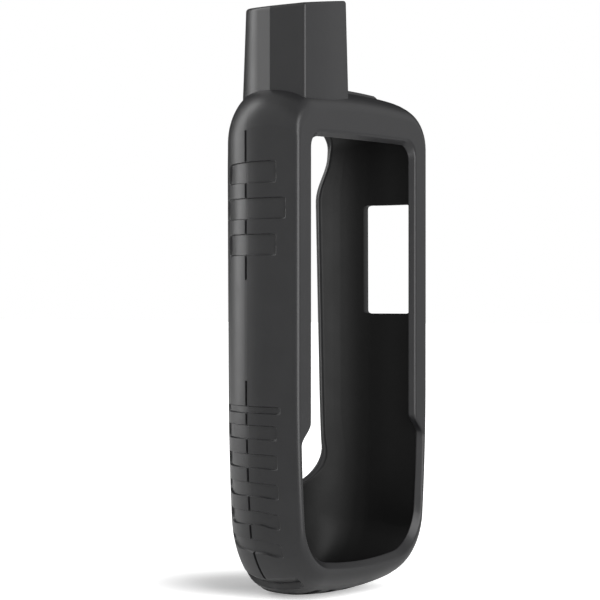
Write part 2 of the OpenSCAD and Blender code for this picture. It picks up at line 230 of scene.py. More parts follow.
def sleeve_surface(t, col, skin, z=None):
    """Points of the sleeve at depth t: the outline's base, side or crown point, then hem and taper.

    Past the back the surface goes on in the plane of the back, up from the base or down from the crown.
    """
    q = np.minimum(t, DEPTH - skin)
    half, low, high = sleeve_ends(q, skin)
    full = WIDTH / 2 - insets(np.array(NARROW_T), skin)[0]
    x0 = col["x"] * np.minimum(1, half / full)
    bx, bz, _ = end_curve(low, x0, col["f"])
    cx, cz, _ = end_curve(high, x0, col["f"])
    sz = side_height(col["z"] if z is None else z, low[4], high[4])
    part = col["part"]
    x = np.where(part == BASE, bx, np.where(part == SIDE, half, cx))
    z = np.where(part == BASE, bz + t - q, np.where(part == SIDE, sz, cz - t + q))
    y = q * (1 - BACK_TAPER / DEPTH * (1 - z / HEIGHT)) - DEPTH / 2
    return np.stack(np.broadcast_arrays(col["sign"] * x * hem_keep(z), y, z), -1)


def length_at(z):
    """Length round the outline at which the half-depth outline reaches height z."""
    fine = np.linspace(0, CROWN_START, 4000)
    return np.interp(z, sleeve_surface(np.array(MIDDLE), columns_at(fine, 1), 0.0)[:, 2], fine)


print("half-way up the sleeve is", round(float(length_at(HEIGHT / 2)), 1), "mm round the outline")

# %% [markdown]
# ## Where the pockets are
#
# The moulder cut shallow pockets into the sides and the base so that a gloved hand keeps its grip, and
# a thin line runs down the middle of each side. A pocket is a rounded rectangle on the surface: its
# two ends across the outline, and its front and back depth. The pocket on each lower corner is deeper:
# its floor falls from its high to its low end, and the pocket climbs a little towards the front.

# %% Grip pockets
GRIP_DEPTH, GRIP_R, GRIP_SOFT = 0.6, 0.7, 0.13
FAR_FRONT, NEAR_FRONT, PLAIN_FRONT = 4.5, 6.4, 7.9
SHORT_BACK, PLAIN_BACK, LONG_BACK = 29.0, 31.3, 32.8
LOWER_Z, LOWER_HALF = 48.9 - 8.15 * np.arange(5), 1.95
LOWER_BACK = (LONG_BACK, LONG_BACK, LONG_BACK, PLAIN_BACK, PLAIN_BACK)
UPPER_Z, UPPER_HALF = HEIGHT - 26.1 - 10.25 * np.arange(3), 2.95
UPPER_ENDS = ((PLAIN_FRONT, SHORT_BACK), (FAR_FRONT, PLAIN_BACK), (PLAIN_FRONT, SHORT_BACK))
THIN_LOW, THIN_HIGH, BASE_PITCH = 54.35, 56.25, 8.3
CORNER_GRIP = length_at(5.5) + np.array([-2.9, 2.4])
CORNER_CLIMB, CLIMB_T = 0.2, 14.0
CORNER_GRIP_DEPTH, CORNER_GRIP_R, CORNER_GRIP_SOFT = 1.6, 1.8, 0.25
LINE_RUNS, LINE_HALF, LINE_R, LINE_SOFT = ((6.0, 63.4), (92.2, 134.6)), 0.42, 0.05, 0.06


def grips(sign):
    """Rows of (low end, high end, front, back) for the even pockets of one half."""
    lower = [(z - LOWER_HALF, z + LOWER_HALF, PLAIN_FRONT, b) for z, b in zip(LOWER_Z, LOWER_BACK)]
    thin = [(THIN_LOW, THIN_HIGH, NEAR_FRONT, LONG_BACK)]
    upper = [(z - UPPER_HALF, z + UPPER_HALF, *ends) for z, ends in zip(UPPER_Z, UPPER_ENDS)]
    rows = np.array(lower + thin + (upper if sign < 0 else []))
    rows[:, :2] = length_at(rows[:, :2])
    places = BASE_PITCH * np.arange(3)
    base = [(x - LOWER_HALF, x + LOWER_HALF, NEAR_FRONT, PLAIN_BACK) for x in places]
    return np.vstack([rows, base])


print("even pockets:", len(grips(-1)), "on the left half,", len(grips(1)), "on the right")

# %% [markdown]
# ## Mesh lines
#
# Each edge gets four lines, two on each side of it, which is what it takes to bend a smooth surface
# over a small step. The wide gaps between are then filled evenly.

# %% Lines with an even fill
EDGE_LINES, LEAST_GAP = np.array([-0.28, -GRIP_SOFT, GRIP_SOFT, 0.28]), 0.12


def mesh_lines(soft, hard, low, high, step):
    """Sorted line places: four round each soft edge, one on each hard edge, and an even fill."""
    near = (np.asarray(soft, float)[:, None] + EDGE_LINES).ravel()
    hard = np.unique(np.concatenate([np.asarray(hard, float), [low, high]]))
    near = near[(np.abs(near[:, None] - hard).min(1) > LEAST_GAP) & (near > low) & (near < high)]
    near = np.sort(near)
    near = near[np.concatenate([[True], np.diff(near) > LEAST_GAP])]
    marks = np.sort(np.concatenate([hard, near]))
    count = np.maximum(np.ceil(np.diff(marks) / step).astype(int), 1)
    filled = [np.linspace(a, b, n, endpoint=False) for a, b, n in zip(marks[:-1], marks[1:], count)]
    return np.concatenate(filled + [[high]])


KEY_FRONT, KEY_BACK, KEY_LOW, KEY_HIGH, KEY_R = 5.0, 21.05, 82.27, 115.47, 1.0
PAD_LEFT, PAD_RIGHT, PAD_R, PAD_H = -9.2, 17.5, 1.0, 0.6
STEP_LOW, STEP_HIGH = 45.9, 52.5
COLUMN_STEP, CORNER_STEP, LIP_STEP, ROW_STEP = 1.5, 0.35, 0.6, 1.6


def half_lines(sign):
    """Places of the columns of one half: pocket and line ends, lip step, corner pocket, key opening."""
    edges = grips(sign)[:, :2].ravel()
    lip_step = length_at(np.arange(STEP_LOW - 0.4, STEP_HIGH + 0.5, LIP_STEP))
    corner = np.arange(CORNER_GRIP[0] - 4.0, CORNER_GRIP[1] + 3.5, CORNER_STEP)
    hard = np.concatenate([lip_step, corner])
    soft = np.concatenate([edges[edges > 0.5], length_at(np.ravel(LINE_RUNS)[1:])])
    if sign > 0:
        key = np.array([0, 0.4, KEY_R])
        hard = np.concatenate([hard, length_at(KEY_LOW + key), length_at(KEY_HIGH - key)])
        soft = np.append(soft, HALF_LENGTH - PAD_RIGHT)
    hard = hard[np.abs(hard[:, None] - edges).min(1) > 0.3]
    return mesh_lines(soft, hard, 0.0, HALF_LENGTH, COLUMN_STEP)


right, left = half_lines(1), half_lines(-1)[1:-1][::-1]
halves = columns_at(right, 1), columns_at(left, -1)
COL = {name: np.concatenate([h[name] for h in halves])[None, :] for name in halves[0]}
LENGTH = np.concatenate([right, left])[None, :]
COLUMNS = LENGTH.shape[1]

T_NEAR, T_SIDE, T_LAST = 2.0, 2.7, 34.5
FRONT_ROWS = FRONT_SIDE_R * (1 - np.cos(np.radians([15, 30, 45, 60, 75])))
KEY_ROWS = np.array([KEY_FRONT, KEY_FRONT + KEY_R, KEY_BACK - KEY_R, KEY_BACK])
LINE_ROWS = MIDDLE + np.array([-1, -1, 1, 1]) * LINE_HALF + np.array([-1, 1, -1, 1]) * LINE_SOFT
REAR_ROWS = np.array([32.05, 32.3, 33.45, 33.8, 34.15])
POCKET_ENDS = FAR_FRONT, NEAR_FRONT, PLAIN_FRONT, SHORT_BACK, PLAIN_BACK, LONG_BACK
SIDE_ROWS = mesh_lines(POCKET_ENDS, [*KEY_ROWS, *LINE_ROWS, *REAR_ROWS], T_SIDE, T_LAST, ROW_STEP)
ROWS = np.concatenate([[0.0], FRONT_ROWS, [FRONT_SIDE_R, T_NEAR], SIDE_ROWS])[:, None]
print("mesh lines:", len(ROWS), "rows,", COLUMNS, "columns")

# %% [markdown]
# ## The rear opening
#
# The back is cut away so that the receiver's own back stays free. The edge is a closed curve on the
# round back, wide at the top, with a waist and a round foot. Each column is followed backwards until it
# meets that curve: the place is found by halving an interval, for all columns at once.

# %% Where each column meets the rear opening
REAR_TOP_HALF, REAR_WAIST_HALF, REAR_FOOT_HALF = 24.5, 21.5, 22.5
REAR_TOP, REAR_FOOT, REAR_FOOT_R, REAR_SOFT_R = 140.3, 29.6, 12.0, 8.2
WAIST_TOP, WAIST_RISE = 116.5, 14.5
RIM, SEARCH_FROM, SEARCH_PAST, HALVINGS = 0.35, 23.0, 9.0, 40


def half_chord(r, h):
    """Half width of a circle of radius r at the height h off its middle: sqrt(r^2 - h^2), or none."""
    return np.sqrt(np.clip(r**2 - h**2, 0, None))


def rear_half(z):
    """Half width of the rear opening: foot circle, straight waist, cosine step, then a top corner."""
    low, top = REAR_FOOT + REAR_FOOT_R, REAR_TOP - REAR_SOFT_R
    foot = REAR_FOOT_HALF - REAR_FOOT_R + half_chord(REAR_FOOT_R, low - z)
    waist = np.interp(z, [low, WAIST_TOP], [REAR_FOOT_HALF, REAR_WAIST_HALF])
    rise = (1 - np.cos(np.pi * np.clip((z - WAIST_TOP) / WAIST_RISE, 0, 1))) / 2
    middle = waist + (REAR_TOP_HALF - REAR_WAIST_HALF) * rise
    corner = REAR_TOP_HALF - REAR_SOFT_R + half_chord(REAR_SOFT_R, z - top)
    return np.where(z < low, foot, np.where(z > top, corner, middle))


def rear_meeting(skin):
    """Depth at which each column, on the surface skin inside, meets the rear opening, by halving."""
    near, far = np.full((1, COLUMNS), SEARCH_FROM), np.full((1, COLUMNS), DEPTH + SEARCH_PAST)
    for _ in range(HALVINGS):
        t = (near + far) / 2
        p = sleeve_surface(t, COL, skin)
        z = p[..., 2]
        inside = (z > REAR_FOOT - RIM) & (z < REAR_TOP + RIM) & (np.abs(p[..., 0]) < rear_half(z) + RIM)
        near, far = np.where(inside, near, t), np.where(inside, t, far)
    return far


T_END, T_STRAIGHT = rear_meeting(0.0), rear_meeting(WALL)
print("rear edge at depths", round(float(T_END.min()), 1), "to", round(float(T_END.max()), 1))

# %% [markdown]
# ## The cut of the rear edge
#
# A cut straight back through the slanting wall would show a broad dark face to the camera. The photo
# shows only a thin light line, so on the sides the moulding must end square to its wall. There both
# faces turn about the same middle, so the inner face ends at the same share of its smaller radius. At
# the foot and the crown the back is nearly flat, and straight back is square already.

# %% Where the inner face ends
SQUARE_LOW, SQUARE_LOW_RUN, SQUARE_TOP, SQUARE_TOP_RUN = 32.0, 14.0, 141.5, 11.0
RIM_INSET, RIM_EASE = 0.25, 0.45

corner_z = sleeve_surface(T_STRAIGHT, COL, WALL)[0, :, 2]
above_foot = np.clip((corner_z - SQUARE_LOW) / SQUARE_LOW_RUN, 0, 1)
below_top = np.clip((SQUARE_TOP - corner_z) / SQUARE_TOP_RUN, 0, 1)
on_side = above_foot * below_top
on_side = on_side**2 * (3 - 2 * on_side)
square = SIDE_FLAT + (T_END - SIDE_FLAT) * (1 - WALL / (DEPTH - SIDE_FLAT))
T_INNER = T_STRAIGHT + (square - T_STRAIGHT) * on_side
T_ROUND = T_INNER - RIM_INSET - RIM_EASE * on_side
moved = float((T_INNER - T_STRAIGHT).max())
print("the square cut moves the inner edge back by up to", round(moved, 2), "mm")

# %% [markdown]
# ## Rows near the rear edge
#
# Rows are named by depth, but the last of them have to follow the rear edge. Where the base climbs the
# back, equal steps of depth would crowd there, so these rows are spaced evenly along the surface.

# %% Stretching rows to the rear edge
T_FREE, T_HOLD, HOLD_GAP, INNER_FREE = 24.0, 31.8, 1.5, 22.0
FINE = 120


def even_steps(start, stop, share, skin):
    """Depths at which each column has gone a share of its way from start to stop along the surface.

    The way is measured in short steps, and the share is looked up between the two nearest of them.
    """
    fine = np.linspace(0, 1, FINE + 1)[:, None]
    steps = np.diff(sleeve_surface(start + (stop - start) * fine, COL, skin), axis=0)
    way = np.cumsum(np.linalg.norm(steps, axis=-1), 0)
    way = np.concatenate([np.zeros((1, COLUMNS)), way]) / way[-1]
    share = np.broadcast_to(share, (len(share), COLUMNS))
    k = np.clip((way <= share[:, None]).sum(1) - 1, 0, FINE - 1)
    before, after = np.take_along_axis(way, k, 0), np.take_along_axis(way, k + 1, 0)
    return start + (stop - start) * (k + (share - before) / np.maximum(after - before, 1e-9)) / FINE


def to_rear_edge(t):
    """Depth of a row on each column: its own at the front, then stretched to end at the rear opening."""
    hold = np.minimum(T_HOLD, T_END - HOLD_GAP)
    middle = T_FREE + (t - T_FREE) * (hold - T_FREE) / (T_HOLD - T_FREE)
    last = even_steps(hold, T_END, np.clip((t - T_HOLD) / (T_LAST - T_HOLD), 0, 1), 0.0)
    return np.where(t <= T_FREE, t, np.where(t <= T_HOLD, middle, last))


def inner_depth(t):
    """Depth on the inner face opposite depth t: the same at first, then shared out up to the rim.

    It is shared out in proportion to depth on the sides, and evenly along the surface on the base.
    """
    late = ROWS[-len(t):] > INNER_FREE
    plain = INNER_FREE + (t - INNER_FREE) * (T_ROUND - INNER_FREE) / (T_END - INNER_FREE)
    climbing = even_steps(INNER_FREE, T_ROUND, np.cumsum(late, 0) / late.sum(), WALL)
    on_base = np.clip(1 - (COL["z"] - LOW) / LOW_REACH, 0, 1)
    return np.where(late, plain + (climbing - plain) * on_base, t)


print("rows that follow the rear edge:", int((ROWS > T_FREE).sum()))

# %% [markdown]
# ## The side key opening
#
# A window in the right wall leaves the receiver's side keys free. Its four corners have a small
# radius, so the mesh lines that meet there are drawn onto an arc before the surface is worked out.

# %% Rounding the corners of the side key opening
TINY = 1e-3

depth_grid, height_grid = np.broadcast_arrays(ROWS, COL["z"])
on_key_side = (COL["part"] == SIDE) & (COL["sign"] > 0)
a = np.minimum(depth_grid - KEY_FRONT, KEY_BACK - depth_grid)
b = np.minimum(height_grid - KEY_LOW, KEY_HIGH - height_grid)
at_corner = on_key_side & (a > -TINY) & (b > -TINY) & (a < KEY_R) & (b < KEY_R)
reach = np.hypot(a - KEY_R, b - KEY_R)
pull = np.where(at_corner & (reach > KEY_R), KEY_R / np.maximum(reach, TINY), 1.0)
new_a, new_b = KEY_R + (a - KEY_R) * pull, KEY_R + (b - KEY_R) * pull
in_front = depth_grid < (KEY_FRONT + KEY_BACK) / 2
is_low = height_grid < (KEY_LOW + KEY_HIGH) / 2
drawn_t = np.where(in_front, KEY_FRONT + new_a, KEY_BACK - new_a)
drawn_z = np.where(is_low, KEY_LOW + new_b, KEY_HIGH - new_b)
T_GRID = to_rear_edge(np.where(at_corner, drawn_t, depth_grid))
Z_GRID = np.where(at_corner, drawn_z, height_grid)
print("mesh points drawn onto the four corners:", int((pull < 1).sum()))

# %% [markdown]
# ## The outer face, with its pockets
#
# The pockets are pressed into the smooth face along its normal. Inside a pocket the depth is full,
# outside it is nought, and over about a quarter of a millimetre between them it falls evenly, as the
# rounded edge of a moulding does. The low pad on the crown is the same idea outwards.

# %% How deep the pockets are
def rounded_box(u, v, u0, u1, v0, v1, r):
    """Signed distance to a rectangle with corners of radius r, negative inside."""
    du = np.abs(u - (u0 + u1) / 2) - (u1 - u0) / 2 + r
    dv = np.abs(v - (v0 + v1) / 2) - (v1 - v0) / 2 + r
    return np.hypot(np.maximum(du, 0), np.maximum(dv, 0)) + np.minimum(np.maximum(du, dv), 0) - r


def inside_share(distance, soft=GRIP_SOFT):
    """1 inside an edge, 0 outside it, and an even slope over twice the softness."""
    return np.clip(0.5 - distance / (2 * soft), 0, 1)


recess = np.zeros((len(ROWS), COLUMNS))
for sign in (1, -1):
    mine = COL["sign"] == sign
    for low, high, front, back in grips(sign):
        share = inside_share(rounded_box(LENGTH, ROWS, low, high, front, back, GRIP_R))
        recess = np.maximum(recess, GRIP_DEPTH * share * mine)
    low, high = CORNER_GRIP
    climbed = LENGTH - CORNER_CLIMB * (CLIMB_T - ROWS)
    fall = np.clip((high - climbed) / (high - low), 0, 1)
    box = rounded_box(climbed, ROWS, low, high, NEAR_FRONT, PLAIN_BACK, CORNER_GRIP_R)
    recess = np.maximum(recess, CORNER_GRIP_DEPTH * fall * inside_share(box, CORNER_GRIP_SOFT) * mine)
    for low, high in length_at(np.array(LINE_RUNS)):
        box = rounded_box(LENGTH, ROWS, low, high, MIDDLE - LINE_HALF, MIDDLE + LINE_HALF, LINE_R)
        recess = np.maximum(recess, GRIP_DEPTH * inside_share(box, LINE_SOFT) * mine)

across = COL["sign"] * COL["x"]
pad = inside_share(rounded_box(across, ROWS, PAD_LEFT, PAD_RIGHT, PLAIN_FRONT, SHORT_BACK, PAD_R))
recess = recess - PAD_H * pad * (COL["part"] == CROWN) * (COL["f"] == 0)
print("deepest pocket", round(float(recess.max()), 2), "mm, pad", round(float(-recess.min()), 2), "mm high")

# %% The outer and the inner face
FIRST_INNER, SECOND_INNER = 2.5, 2.55

outer = sleeve_surface(T_GRID, COL, 0.0, Z_GRID)
along = np.gradient(outer, axis=0)
beside = np.roll(outer, -1, 1) - np.roll(outer, 1, 1)
normal = np.cross(beside, along)
normal /= np.linalg.norm(normal, axis=-1, keepdims=True)
normal *= np.sign(((outer - outer.mean((0, 1))) * normal).sum(-1).mean())
outer = outer - recess[..., None] * normal

inner_first = int(np.searchsorted(ROWS[:, 0], T_SIDE))
inner_t = inner_depth(T_GRID[inner_first:])
inner = sleeve_surface(inner_t, COL, WALL, Z_GRID[inner_first:])
inner_front = sleeve_surface(np.array([[FIRST_INNER], [SECOND_INNER]]), COL, WALL)
print("rows of the outer face:", len(outer), "and of the inner face:", len(inner))

# %% [markdown]
# ## The front lip
#
# The lip that holds the receiver in is about one wall thick. Its edge flares a little towards the
# front, so that the mould opens, and it is rounded on both sides, because silicone can't be moulded to
# a knife edge. Beside the keypad the opening steps out to the full width of the pocket.

# %% The opening in the front lip
SCREEN_HALF, SCREEN_TOP, SCREEN_ARC_R, SCREEN_CORNER_R, SCREEN_DRAW = 25.5, 132.87, 1500.0, 4.6, 0.95
KEYPAD_BASE, KEYPAD_LIP, KEYPAD_CORNER_R, KEYPAD_DRAW = 10.7, 0.55, 13.0, 0.9


def front_edge():
    """The opening at the back of the lip: keypad base and corners, sides with a step, screen top."""
    keypad_half = WIDTH / 2 - WALL - KEYPAD_LIP
    low = end_arcs(-1, keypad_half, KEYPAD_BASE, BASE_ARC_R - WALL, KEYPAD_CORNER_R)
    high = end_arcs(1, SCREEN_HALF, SCREEN_TOP, SCREEN_ARC_R, SCREEN_CORNER_R)
    bx, bz, _ = end_curve(low, COL["x"] * KEYPAD_DRAW, COL["f"])
    tx, tz, _ = end_curve(high, COL["x"] * SCREEN_DRAW, COL["f"])
    sz = side_height(COL["z"], low[4], high[4])
    rise = (1 - np.cos(np.pi * np.clip((sz - STEP_LOW) / (STEP_HIGH - STEP_LOW), 0, 1))) / 2
    sx = keypad_half * hem_keep(sz) * (1 - rise) + SCREEN_HALF * rise
    part = COL["part"]
    x = np.where(part == BASE, bx * hem_keep(bz), np.where(part == SIDE, sx, tx))
    z = np.where(part == BASE, bz, np.where(part == SIDE, sz, tz))
    return (COL["sign"] * x)[0], z[0]


edge_x, edge_z = front_edge()
print("front opening from", round(float(edge_z.min()), 1), "to", round(float(edge_z.max()), 1), "mm high")

# %% The flared, rounded edge of the lip
LIP_T, SIDE_FLARE, TOP_FLARE, END_FLARE, CREST_R, FOOT_R = 2.1, 1.0, 1.55, 1.9, 0.65, 0.35
FACE_SHARE, EDGE_SHARE = 0.8, 0.4


def bend(a, corner, b, shares):
    """Points that turn from a towards a corner and on to b: (1 - s)^2 a + 2 s (1 - s) corner + s^2 b."""
    s = np.asarray(shares)[:, None, None]
    return (1 - s) ** 2 * a + 2 * s * (1 - s) * corner + s**2 * b


def toward(a, b, reach, share):
    """Point at a distance from a towards b, but no further than a share of the way."""
    length = np.linalg.norm(b - a, axis=-1, keepdims=True)
    return a + (b - a) * np.minimum(reach / length, share)


def between(a, b, shares):
    """Rows of points at shares of the way from a to b."""
    return [a + (b - a) * s for s in shares]


mid_z = (SCREEN_TOP + KEYPAD_BASE) / 2
flare_x = 1 + SIDE_FLARE / SCREEN_HALF
flare_z = 1 + np.where(edge_z > mid_z, TOP_FLARE, END_FLARE) / (SCREEN_TOP - mid_z)
front_y = np.full_like(edge_x, -DEPTH / 2)
foot = np.stack([edge_x, np.full_like(edge_x, LIP_T - DEPTH / 2), edge_z], -1)
crest = np.stack([edge_x * flare_x, front_y, mid_z + (edge_z - mid_z) * flare_z], -1)
rim_end = toward(crest, outer[0], CREST_R, FACE_SHARE)
high_wall = toward(crest, foot, CREST_R, EDGE_SHARE)
low_wall = toward(foot, crest, FOOT_R, EDGE_SHARE)
back_end = toward(foot, inner_front[0], FOOT_R, EDGE_SHARE)
back_rim = bend(back_end, foot, low_wall, np.linspace(0, 1, 6))
front_rim = bend(high_wall, crest, rim_end, np.linspace(0, 1, 9)[:-1])
face_rows = between(rim_end, outer[0], (0.0, 0.04, 0.3, 0.7, 0.96))
lip_back = between(inner_front[0], back_end, (0.05, 0.5, 0.95))
lip_wall = between(low_wall, high_wall, (0.05, 0.5, 0.95))
gap = np.linalg.norm(outer[0] - crest, axis=-1)
print("front face is", round(float(gap.min()), 2), "to", round(float(gap.max()), 2), "mm wide")

# %% [markdown]
# ## The rear edge and the whole skin
#
# At the rear opening the outer and inner faces are joined by a round edge. The rows now make a closed
# ring: front face, outer face, rear edge, inner face, back of the lip, lip edge. Joining each row to
# the next and the last to the first gives a closed skin, like a tube bent into a ring. Each row also
# notes how far inside it is, because the inside has a finish of its own and painted shade.

# %% Joining the rows
RIM_BACK, RIM_SHARE, RIM_FADE = 1.5, 0.6, 5

onward = outer[-1] - outer[-2]
onward /= np.linalg.norm(onward, axis=-1, keepdims=True)
inner_corner = sleeve_surface(T_INNER, COL, WALL)[0]
rim_back = toward(outer[-1], inner_corner, RIM_BACK, RIM_SHARE)
rear_edge = [outer[-1] + (rim_back - outer[-1]) * s + RIM * math.sin(math.pi * s) * onward
             for s in (0.12, 0.35, 0.65, 0.88)]
rear_edge += list(bend(rim_back, inner_corner, inner[-1], np.linspace(0, 1, 8)[:-1]))
skin_rows = np.stack([*face_rows, *outer, *rear_edge, *inner[::-1], inner_front[1], inner_front[0],
                      *lip_back, *back_rim, *lip_wall, *front_rim])
outer_at = len(face_rows)
inner_at = outer_at + len(outer) + len(rear_edge)
lip_at = inner_at + len(inner) + len(inner_front) + len(lip_back)
row = np.arange(len(skin_rows))
# How far inside each row is: it sets the coarser inside finish and the painted shade there.
inside_finish_and_shade = np.interp(row, [inner_at - RIM_FADE, inner_at, lip_at, lip_at + len(back_rim) - 1], [0, 1, 1, 0])


def ring_faces(rows, columns):
    """Quads between every row and the next, and every column and the next, closed both ways."""
    i, j = np.meshgrid(np.arange(rows), np.arange(columns), indexing="ij")
    k, n = (i + 1) % rows, (j + 1) % columns
    return np.stack([i * columns + j, i * columns + n, k * columns + n, k * columns + j], -1)


quads = ring_faces(*skin_rows.shape[:2])
print("closed ring of", len(skin_rows), "rows")

# %% [markdown]
# ## The section of the boot
#
# The boot's section has a flat left face, a narrow facet, a round back and a slightly bulging front,
# and it gets a little smaller towards the top, so that it leaves the mould. It comes here, before the
# boot itself, because the hole in the crown that leads up into the boot follows it.

# %% The boot's section
BOOT_LEFT, BOOT_RIGHT, BOOT_LEAN, BOOT_FRONT, BOOT_BULGE = 26.3, 4.2, 1.6, 2.5, 0.8
BOOT_FLAT, BOOT_FACET, BOOT_TURN = 12.4, 6.2, math.radians(17)
BOOT_FOOT_R, BOOT_TOP_R, BOOT_EDGE_R, BOOT_SIDE_R, BOOT_LEAST_R = 25.0, 18.0, 0.9, 0.8, 0.3
FACET_END = np.array([BOOT_FACET * math.sin(BOOT_TURN) - BOOT_LEFT,
                      BOOT_FRONT + BOOT_FLAT + BOOT_FACET * math.cos(BOOT_TURN)])


def supported(a, b, n, near=0.2):
    """Even places from a to b, with one more close to each end to hold a flat face flat."""
    way = np.sign(b - a) * near
    return np.concatenate([[a, a + way], np.linspace(a + 4 * way, b - 4 * way, n), [b - way]])


def arc(x, y, r, start, stop, n):
    """Points on an arc about (x, y), from one angle to just short of the other."""
    a = np.linspace(start, stop, n)[:-1]
    return np.array([x, y]) + r * np.stack([np.cos(a), np.sin(a)], -1)


def boot_section(k, skin):
    """Section of the boot at share k of its height: round back, soft corner, front bulge, side facets."""
    r = BOOT_FOOT_R + (BOOT_TOP_R - BOOT_FOOT_R) * k
    centre = FACET_END + r * np.array([math.cos(BOOT_TURN), -math.sin(BOOT_TURN)])
    left, right = skin - BOOT_LEFT, -BOOT_RIGHT - BOOT_LEAN * k - skin
    front, back_r, soft = BOOT_FRONT + skin, r - skin, BOOT_EDGE_R + WALL - skin
    facet = centre + back_r * np.array([-math.cos(BOOT_TURN), math.sin(BOOT_TURN)])
    flat_end = facet[1] - (facet[0] - left) / math.tan(BOOT_TURN)
    end_a = math.acos((right - soft - centre[0]) / back_r)
    end_y = centre[1] + back_r * math.sin(end_a)
    edge = max(BOOT_SIDE_R - skin, BOOT_LEAST_R)
    back = arc(*centre, back_r, math.pi - BOOT_TURN, end_a, 28)
    corner = arc(right - soft, end_y - soft, soft, math.pi / 2, 0, 8)
    y = supported(end_y - soft, front + edge, 6)
    side = np.stack([np.full_like(y, right), y], -1)
    right_edge = arc(right - edge, front + edge, edge, 0, -math.pi / 2, 7)
    x = supported(right - edge, left + edge, 14)
    u = (x - (left + right) / 2) / ((right - left) / 2 - edge)
    face = np.stack([x, front - BOOT_BULGE * (1 - u * u)], -1)
    left_edge = arc(left + edge, front + edge, edge, -math.pi / 2, -math.pi, 7)
    y = supported(front + edge, flat_end, 6)
    flat = np.stack([np.full_like(y, left), y], -1)
    s = supported(0, 1, 3, 0.04)[:, None]
    slope = np.array([left, flat_end]) + (facet - np.array([left, flat_end])) * s
    return np.concatenate([back, corner, side, right_edge, face, left_edge, flat, slope])


foot_size = np.ptp(boot_section(0.0, 0.0), axis=0)
print("foot of the boot:", round(float(foot_size[0]), 1), "x", round(float(foot_size[1]), 1), "mm")

# %% [markdown]
# ## Cutting the two holes
#
# Two holes go right through the wall: the side key opening, and the way up into the antenna boot. The
# quads of both faces are left out there, and the edges that this bares are joined across the wall. A
# boolean cut would do the same, but it would leave long thin triangles that spoil a smooth face.

# %% The quads of both holes
BOOT_BASE = 136.72
WAY_K, WAY_LOW, WAY_BACK = 0.25, BOOT_BASE + 3, 33.0


def inside_polygon(x, y, ring):
    """True where a point is inside a closed ring: it has an odd number of edges to one side of it."""
    x0, y0 = ring.T
    x1, y1 = np.roll(ring, -1, 0).T
    x, y = x[..., None], y[..., None]
    spans = (y0 > y) != (y1 > y)
    with np.errstate(divide="ignore", invalid="ignore"):
        cross = x0 + (y - y0) * (x1 - x0) / (y1 - y0)
    return (np.sum(spans & (x < cross), -1) % 2) == 1


def quad_mean(grid):
    """Mean of the four corners of each quad between neighbouring rows and columns."""
    rows = (grid[:-1] + grid[1:]) / 2
    return (rows + np.roll(rows, -1, 1)) / 2


low_t, high_t = ROWS[:-1], ROWS[1:]
next_z, next_side = np.roll(COL["z"], -1, 1), np.roll(on_key_side, -1, 1)
key_hole = (low_t > KEY_FRONT - TINY) & (high_t < KEY_BACK + TINY) & on_key_side & next_side
key_hole = key_hole & (COL["z"] > KEY_LOW - TINY) & (next_z < KEY_HIGH + TINY)
middles = quad_mean(outer)
way_up = inside_polygon(middles[..., 0], middles[..., 1] + DEPTH / 2, boot_section(WAY_K, WALL / 2))
way_up = way_up & (middles[..., 2] > WAY_LOW) & (low_t >= T_SIDE) & (high_t < WAY_BACK)
hole = key_hole | way_up
print("quads left out for the holes:", int(2 * hole.sum()))

# %% Walls of both holes
grid = np.arange(skin_rows.shape[0] * COLUMNS).reshape(skin_rows.shape[:2])
outer_id = grid[outer_at:outer_at + len(outer)]
inner_id = np.full(outer_id.shape, -1)
inner_id[inner_first:] = grid[inner_at:inner_at + len(inner)][::-1]
keep = np.ones(quads.shape[:2], bool)
keep[outer_at:outer_at + len(outer) - 1] &= ~hole
keep[inner_at:inner_at + len(inner) - 1] &= ~hole[inner_first:][::-1]

padded = np.pad(hole, ((1, 1), (0, 0)))
i, j = np.nonzero(padded[1:] != padded[:-1])
n = (j + 1) % COLUMNS
row_walls = np.stack([outer_id[i, j], outer_id[i, n], inner_id[i, n], inner_id[i, j]], -1)
i, j = np.nonzero(hole != np.roll(hole, 1, 1))
column_walls = np.stack([outer_id[i, j], outer_id[i + 1, j], inner_id[i + 1, j], inner_id[i, j]], -1)
faces = np.concatenate([quads[keep], row_walls, column_walls])
print("quads across the wall:", len(row_walls) + len(column_walls))

# %% [markdown]
# ## Making a mesh
#
# Every piece goes through the same function: millimetres become metres, loose points are dropped, all
# faces are turned outwards, and normals are weighted by area so that flat faces stay flat beside their
# rounded edges.

# %% A mesh from points and faces
MM_PER_M, SHARP = 1000, math.radians(62)


def make_piece(name, points, faces, inside_finish_and_shade):
    """One closed mesh object at the origin, from points in mm, faces, and how far inside each point is."""
    used, index = np.unique(np.concatenate([np.ravel(f) for f in faces]), return_inverse=True)
    ends = np.cumsum([len(f) for f in faces])[:-1]
    corners = [f.tolist() for f in np.split(index.ravel(), ends)]
    mesh = bpy.data.meshes.new(name)
    mesh.from_pydata((points[used] / MM_PER_M).tolist(), [], corners)
    work = bmesh.new()
    work.from_mesh(mesh)
    bmesh.ops.recalc_face_normals(work, faces=work.faces)
    work.to_mesh(mesh)
    work.free()
    note = mesh.attributes.new("inside_finish_and_shade", "FLOAT", "POINT")
    note.data.foreach_set("value", inside_finish_and_shade[used].astype(np.float32))
    mesh.shade_smooth()
    mesh.set_sharp_from_angle(angle=SHARP)
    piece = bpy.data.objects.new(name, mesh)
    bpy.context.scene.collection.objects.link(piece)
    weighted = piece.modifiers.new("area_weighted_normals", "WEIGHTED_NORMAL")
    weighted.keep_sharp = True
    print(name, len(mesh.vertices), "points,", len(mesh.polygons), "faces")
    return piece


sleeve = make_piece("sleeve_skin", skin_rows.reshape(-1, 3), list(faces), np.repeat(inside_finish_and_shade, COLUMNS))

# %% [markdown]
# ## The antenna boot
#
# The boot is a hollow cap, closed at the top, that takes the receiver's antenna. On the real sleeve it
# is one with the crown, but a crisp line runs round its foot, so it is a skin of its own here. Its
# lower end goes right through the crown's wall, which closes the joint.

